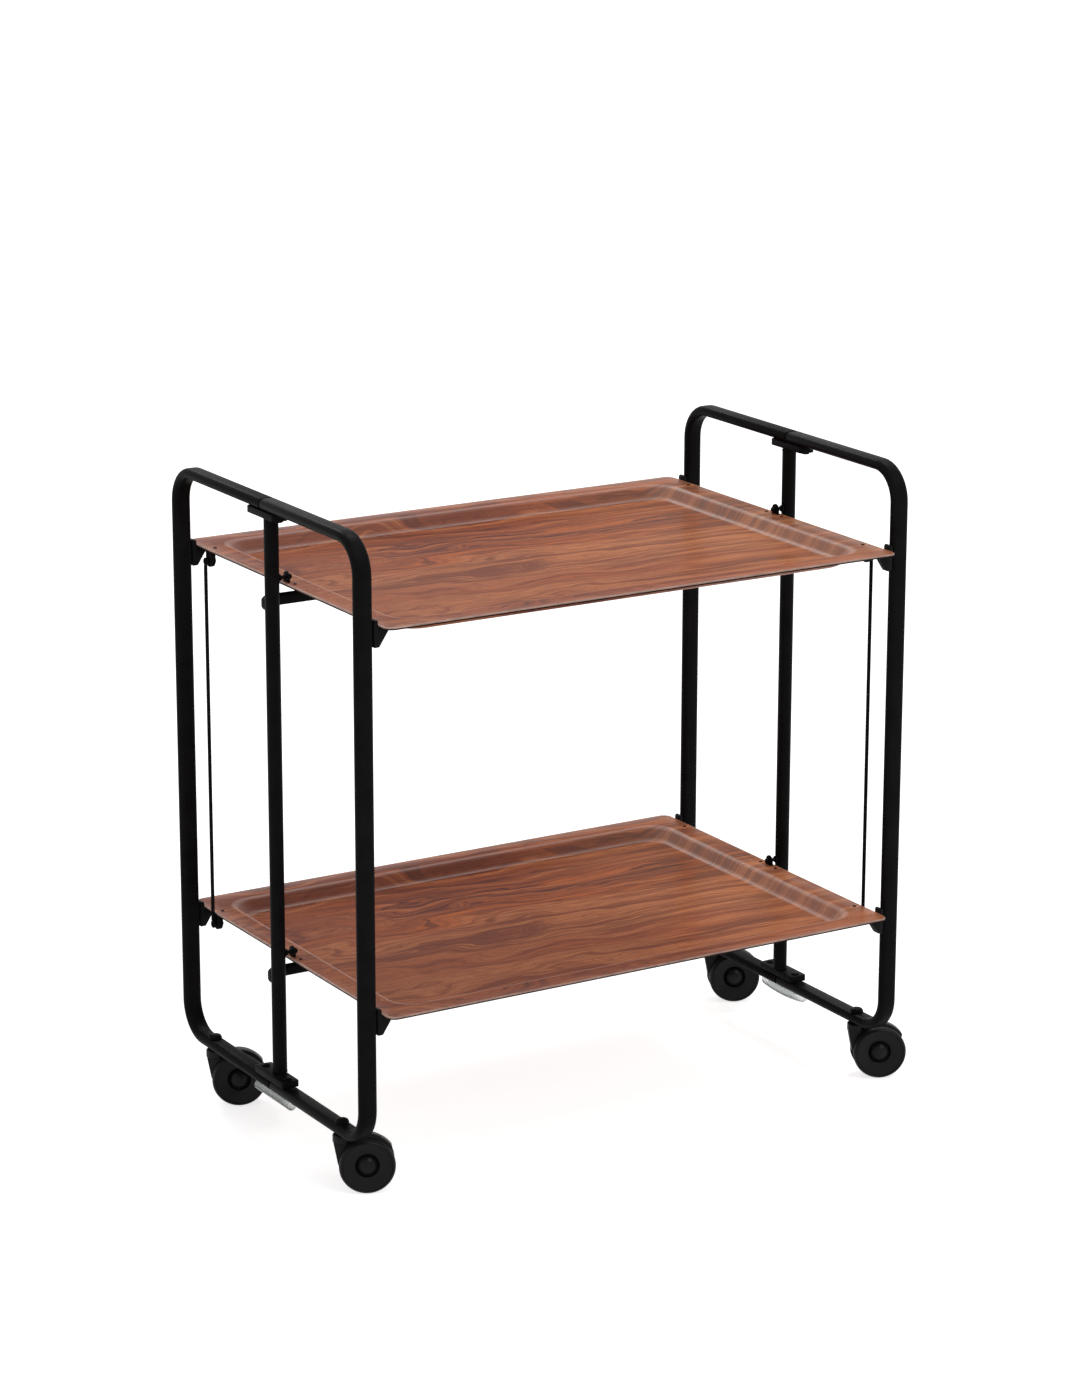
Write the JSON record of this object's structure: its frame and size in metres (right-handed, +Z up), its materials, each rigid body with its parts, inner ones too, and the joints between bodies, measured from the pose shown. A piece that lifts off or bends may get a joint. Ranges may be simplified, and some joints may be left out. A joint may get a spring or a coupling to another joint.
{
  "type": "folding serving trolley",
  "caption": "Two-level serving trolley: pressed wood-pattern trays that tilt together between hinged black tube side frames on swivel casters.",
  "frame": {"origin": "floor level, at the middle of the footprint with the casters as they trail in the picture", "axes": "+Z up, +X to the right along the trays, -Y the front"},
  "size_m": [0.7148, 0.444, 0.7054],
  "materials": {
    "black_steel": "satin black enamel",
    "black_rivet": "blackened steel rivet",
    "black_plastic": "moulded black plastic",
    "zinc_wire": "bright zinc plate",
    "rosewood_laminate": "satin rosewood-pattern laminate",
    "caster_plastic": "satin dark plastic"
  },
  "bodies": {
    "frame": {"left_front_half_frame": "black_steel", "left_front_bottom_hinge_pin": "black_rivet", "left_front_top_hinge_pin": "black_rivet", "left_rear_half_frame": "black_steel", "left_rear_bottom_hinge_pin": "black_rivet", "left_rear_top_hinge_pin": "black_rivet", "left_middle_post": "black_steel", "left_bottom_hinge_plate": "black_steel", "left_top_hinge_plate": "black_steel", "upper_left_pivot_pin": "black_rivet", "upper_left_rear_corner_clip": "black_plastic", "lower_left_pivot_pin": "black_rivet", "lower_left_rear_corner_clip": "black_plastic", "left_hinge_spring": "zinc_wire", "right_front_half_frame": "black_steel", "right_front_bottom_hinge_pin": "black_rivet", "right_front_top_hinge_pin": "black_rivet", "right_rear_half_frame": "black_steel", "right_rear_bottom_hinge_pin": "black_rivet", "right_rear_top_hinge_pin": "black_rivet", "right_middle_post": "black_steel", "right_bottom_hinge_plate": "black_steel", "right_top_hinge_plate": "black_steel", "upper_right_pivot_pin": "black_rivet", "upper_right_rear_corner_clip": "black_plastic", "lower_right_pivot_pin": "black_rivet", "lower_right_rear_corner_clip": "black_plastic", "right_hinge_spring": "zinc_wire", "upper_cross_bar": "black_steel", "lower_cross_bar": "black_steel"},
    "upper_tray": {"upper_tray": "rosewood_laminate", "upper_left_pivot_ear": "black_steel", "upper_left_rod_tongue": "black_steel", "upper_left_front_corner_clip": "black_plastic", "upper_right_pivot_ear": "black_steel", "upper_right_rod_tongue": "black_steel", "upper_right_front_corner_clip": "black_plastic"},
    "lower_tray": {"lower_tray": "rosewood_laminate", "lower_left_pivot_ear": "black_steel", "lower_left_rod_tongue": "black_steel", "lower_left_front_corner_clip": "black_plastic", "lower_right_pivot_ear": "black_steel", "lower_right_rod_tongue": "black_steel", "lower_right_front_corner_clip": "black_plastic"},
    "left_rod": {"left_tie_rod": "black_steel"},
    "right_rod": {"right_tie_rod": "black_steel"},
    "left_front_caster": {"left_front_caster_fork": "caster_plastic", "left_front_caster_nut": "black_steel"},
    "left_front_wheel": {"left_front_caster_wheel": "caster_plastic"},
    "left_rear_caster": {"left_rear_caster_fork": "caster_plastic", "left_rear_caster_nut": "black_steel"},
    "left_rear_wheel": {"left_rear_caster_wheel": "caster_plastic"},
    "right_front_caster": {"right_front_caster_fork": "caster_plastic", "right_front_caster_nut": "black_steel"},
    "right_front_wheel": {"right_front_caster_wheel": "caster_plastic"},
    "right_rear_caster": {"right_rear_caster_fork": "caster_plastic", "right_rear_caster_nut": "black_steel"},
    "right_rear_wheel": {"right_rear_caster_wheel": "caster_plastic"}
  },
  "joints": [
    {"name": "upper_tray_tilt", "type": "hinge", "parent": "frame", "child": "upper_tray", "pos_m": [-0.02219, 0, 0.62], "axis": [1, 0, 0], "range_deg": [0, 38]},
    {"name": "lower_tray_tilt", "type": "hinge", "parent": "frame", "child": "lower_tray", "pos_m": [-0.02219, 0, 0.214], "axis": [1, 0, 0], "range_deg": [0, 38]},
    {"name": "left_rod_swing", "type": "hinge", "parent": "upper_tray", "child": "left_rod", "pos_m": [-0.33389, 0.17, 0.6017], "axis": [1, 0, 0], "range_deg": [-38, 0]},
    {"name": "right_rod_swing", "type": "hinge", "parent": "upper_tray", "child": "right_rod", "pos_m": [0.28951, -0.17, 0.6017], "axis": [1, 0, 0], "range_deg": [-38, 0]},
    {"name": "left_front_swivel", "type": "hinge", "parent": "frame", "child": "left_front_caster", "pos_m": [-0.34669, -0.145, 0.0621], "axis": [0, 0, 1], "continuous": true},
    {"name": "left_front_roll", "type": "hinge", "parent": "left_front_caster", "child": "left_front_wheel", "pos_m": [-0.32403, -0.15557, 0.0295], "axis": [0.4226, 0.9063, 0], "continuous": true},
    {"name": "left_rear_swivel", "type": "hinge", "parent": "frame", "child": "left_rear_caster", "pos_m": [-0.34669, 0.145, 0.0621], "axis": [0, 0, 1], "continuous": true},
    {"name": "left_rear_roll", "type": "hinge", "parent": "left_rear_caster", "child": "left_rear_wheel", "pos_m": [-0.32403, 0.13443, 0.0295], "axis": [0.4226, 0.9063, 0], "continuous": true},
    {"name": "right_front_swivel", "type": "hinge", "parent": "frame", "child": "right_front_caster", "pos_m": [0.30231, -0.145, 0.0621], "axis": [0, 0, 1], "continuous": true},
    {"name": "right_front_roll", "type": "hinge", "parent": "right_front_caster", "child": "right_front_wheel", "pos_m": [0.32497, -0.15557, 0.0295], "axis": [0.4226, 0.9063, 0], "continuous": true},
    {"name": "right_rear_swivel", "type": "hinge", "parent": "frame", "child": "right_rear_caster", "pos_m": [0.30231, 0.145, 0.0621], "axis": [0, 0, 1], "continuous": true},
    {"name": "right_rear_roll", "type": "hinge", "parent": "right_rear_caster", "child": "right_rear_wheel", "pos_m": [0.32497, 0.13443, 0.0295], "axis": [0.4226, 0.9063, 0], "continuous": true}
  ],
  "couplings": [
    {"joint": "lower_tray_tilt", "follows": "upper_tray_tilt", "ratio": 1},
    {"joint": "left_rod_swing", "follows": "upper_tray_tilt", "ratio": -1},
    {"joint": "right_rod_swing", "follows": "upper_tray_tilt", "ratio": -1}
  ]
}
